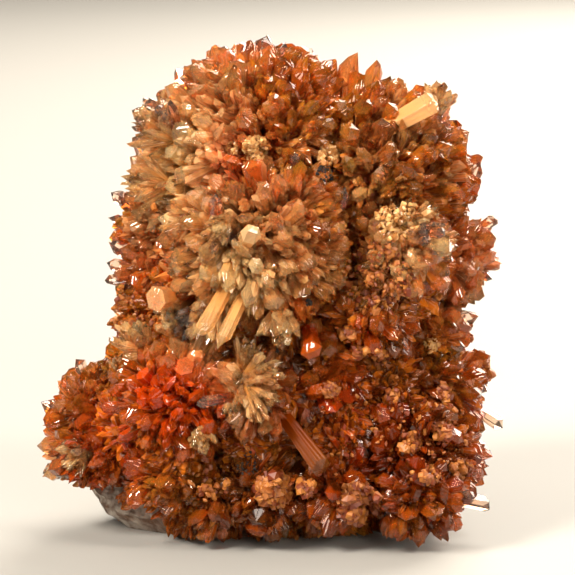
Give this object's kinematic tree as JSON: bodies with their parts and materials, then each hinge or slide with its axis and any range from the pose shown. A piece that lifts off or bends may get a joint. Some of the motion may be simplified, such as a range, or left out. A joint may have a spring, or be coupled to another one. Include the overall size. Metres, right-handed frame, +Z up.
{
  "type": "creedite on matrix mineral specimen",
  "caption": "Cabinet specimen of orange creedite: bursts of pointed, see-through crystals grown together over a lump of dark brown matrix rock with a flat underside.",
  "frame": {"origin": "on the flat underside of the matrix, under the middle of the specimen", "axes": "+Z up, -Y towards the side that the picture shows, +X to that side's right"},
  "size_m": [0.0724, 0.0562, 0.0772],
  "materials": {
    "creedite": "glossy crystal faces, see-through, deep orange at the roots and paler at the tips",
    "matrix_rock": "rough broken rock, dark brown with small sparkling grains and paler patches"
  },
  "bodies": {
    "root": {"creedite": "creedite", "matrix": "matrix_rock"}
  },
  "joints": []
}
